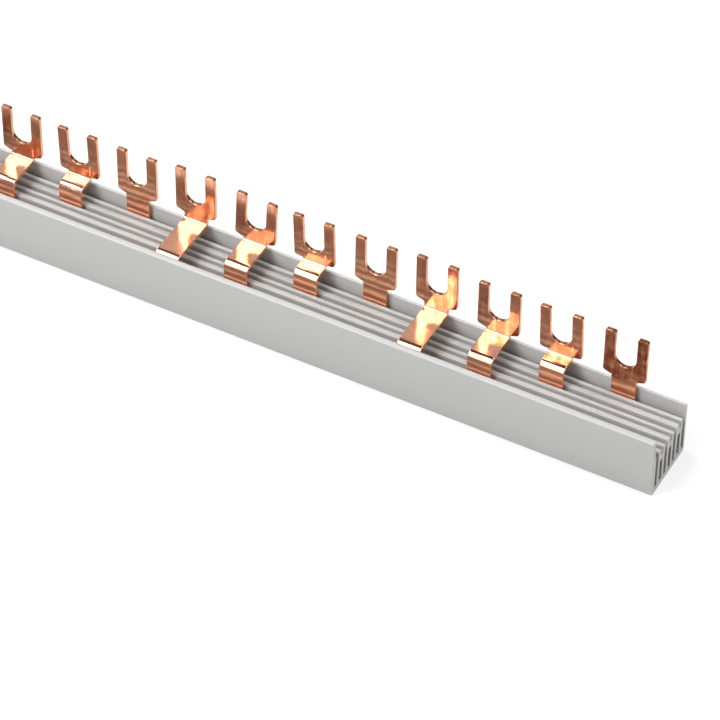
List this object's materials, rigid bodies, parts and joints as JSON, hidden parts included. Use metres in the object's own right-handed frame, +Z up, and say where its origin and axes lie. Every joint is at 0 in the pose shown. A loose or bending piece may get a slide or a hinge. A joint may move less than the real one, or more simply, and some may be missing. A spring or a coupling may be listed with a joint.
{
  "type": "comb busbar",
  "caption": "Comb busbar: slotted insulating profile holding bent copper comb strips whose fork terminals stand in one row, one phase after another.",
  "frame": {"origin": "centre of the insulating profile's flat base", "axes": "+X along the profile, to the right seen from the front; +Z up along the forks; -Y the front, where the taller wall is"},
  "size_m": [0.2298, 0.0204, 0.0345],
  "materials": {
    "insulation": "smooth matte extruded plastic, light grey",
    "copper": "polished bare copper with punched edges"
  },
  "bodies": {
    "root": {"insulating_profile": "insulation", "comb_strip_1": "copper", "comb_strip_2": "copper", "comb_strip_3": "copper", "comb_strip_4": "copper"}
  },
  "joints": []
}
